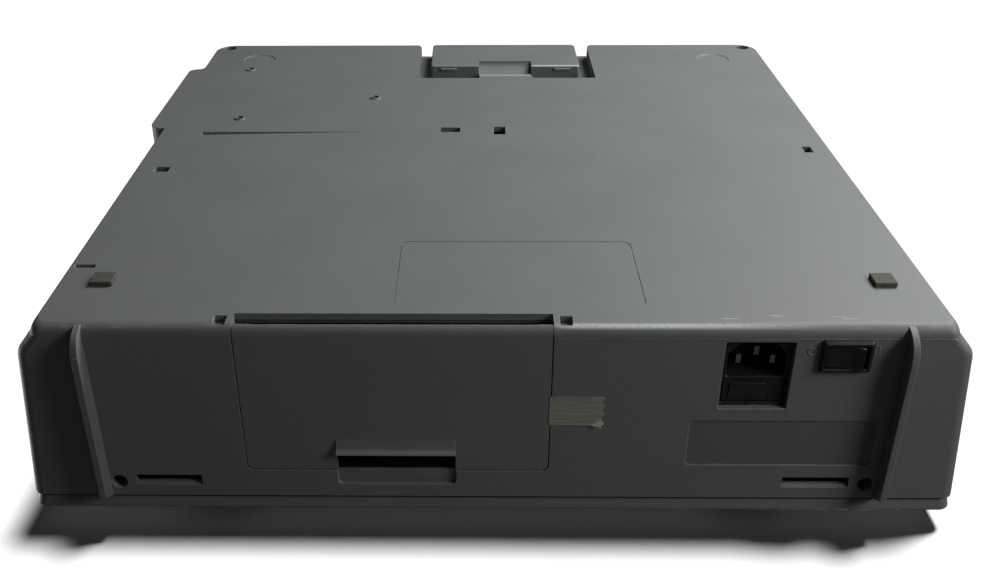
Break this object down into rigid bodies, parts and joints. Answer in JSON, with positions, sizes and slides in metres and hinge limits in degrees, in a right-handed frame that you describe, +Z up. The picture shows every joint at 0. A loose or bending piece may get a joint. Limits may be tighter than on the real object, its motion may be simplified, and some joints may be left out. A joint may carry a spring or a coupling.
{
  "type": "flatbed scanner",
  "caption": "Portable flatbed scanner in a drafted charcoal housing, with a document lid, rear door, mains inlet, rocker switch and a carry handle that slides out of the base.",
  "frame": {"origin": "centre of the bounding box's bottom face, on the plane the rubber feet stand on", "axes": "+Z up, +X to the right seen from the front, +Y towards the rear panel"},
  "size_m": [0.406, 0.388, 0.1092],
  "materials": {
    "housing": "fine moulded grain, scuffed",
    "cover": "fine moulded grain",
    "door": "fine moulded grain",
    "black_plastic": "satin",
    "black_gloss": "polished",
    "white_plastic": "satin",
    "white_foam": "matte",
    "foot_rubber": "dirty",
    "belt_rubber": "matte",
    "glass": "clear",
    "mirror": "polished",
    "steel": "zinc plated",
    "dark_steel": "black oxide",
    "contact_brass": "tinned",
    "board": "solder mask"
  },
  "bodies": {
    "housing": {"base_shell": "housing", "top_cover": "cover", "platen_glass": "glass", "lid_hinge_bracket_left": "cover", "lid_hinge_bracket_right": "cover", "lid_hinge_pin_left": "steel", "lid_hinge_pin_right": "steel", "door_hinge_pin_left": "steel", "door_hinge_pin_right": "steel", "bay_liner": "black_plastic", "port_connector_left": "steel", "port_connector_right": "steel", "main_board": "board", "power_supply": "steel", "inlet_body": "black_plastic", "inlet_pin_left": "contact_brass", "inlet_pin_earth": "contact_brass", "inlet_pin_right": "contact_brass", "switch_body": "black_gloss", "rear_foot_left": "foot_rubber", "rear_foot_right": "foot_rubber", "front_case_screw_left": "dark_steel", "front_case_screw_right": "dark_steel", "rear_case_screw_left": "dark_steel", "rear_case_screw_right": "dark_steel", "chassis_screw_front": "dark_steel", "chassis_screw_rear": "dark_steel", "chassis_screw_inner": "dark_steel", "handle_guide_left": "black_plastic", "handle_guide_right": "black_plastic", "guide_rod": "steel", "rod_bracket_left": "black_plastic", "rod_bracket_right": "black_plastic", "support_rail": "steel", "drive_chassis": "steel", "drive_motor": "dark_steel", "idler_post": "black_plastic", "drive_belt": "belt_rubber", "home_sensor": "black_plastic"},
    "lid": {"lid_cover": "cover", "lid_pad": "white_foam"},
    "door": {"rear_door": "door"},
    "handle": {"carry_handle": "housing"},
    "rocker": {"switch_rocker": "black_gloss"},
    "fuse_holder": {"fuse_drawer": "black_plastic", "fuse": "glass"},
    "carriage": {"scan_carriage": "black_plastic", "scan_lamp": "glass", "scan_mirror_left": "mirror", "scan_mirror_right": "mirror", "scan_lens": "black_gloss", "sensor_board": "board"},
    "motor_wheel": {"motor_pulley": "white_plastic"},
    "idler_wheel": {"idler_pulley": "white_plastic"}
  },
  "joints": [
    {"name": "lid_hinge", "type": "hinge", "parent": "housing", "child": "lid", "pos_m": [0, 0.165, 0.1035], "axis": [-1, 0, 0], "range_deg": [0, 80]},
    {"name": "door_hinge", "type": "hinge", "parent": "housing", "child": "door", "pos_m": [-0.0405, 0.181, 0.0073], "axis": [-1, 0, 0], "range_deg": [0, 85]},
    {"name": "handle_slide", "type": "slide", "parent": "housing", "child": "handle", "axis": [0, -1, 0], "range_m": [0, 0.034]},
    {"name": "rocker_tilt", "type": "hinge", "parent": "housing", "child": "rocker", "pos_m": [0.1433, 0.183, 0.0155], "axis": [0, 0, 1], "range_deg": [-20, 0]},
    {"name": "fuse_slide", "type": "slide", "parent": "housing", "child": "fuse_holder", "axis": [0, 1, 0], "range_m": [0, 0.02]},
    {"name": "carriage_slide", "type": "slide", "parent": "housing", "child": "carriage", "axis": [1, 0, 0], "range_m": [0, 0.29]},
    {"name": "motor_turn", "type": "hinge", "parent": "housing", "child": "motor_wheel", "pos_m": [-0.166, -0.087, 0.0353], "axis": [0, 0, 1], "continuous": true},
    {"name": "idler_turn", "type": "hinge", "parent": "housing", "child": "idler_wheel", "pos_m": [0.17, -0.087, 0.0353], "axis": [0, 0, 1], "continuous": true}
  ],
  "couplings": [
    {"joint": "motor_turn", "follows": "carriage_slide", "rad_per_m": -125},
    {"joint": "idler_turn", "follows": "carriage_slide", "rad_per_m": -125}
  ]
}
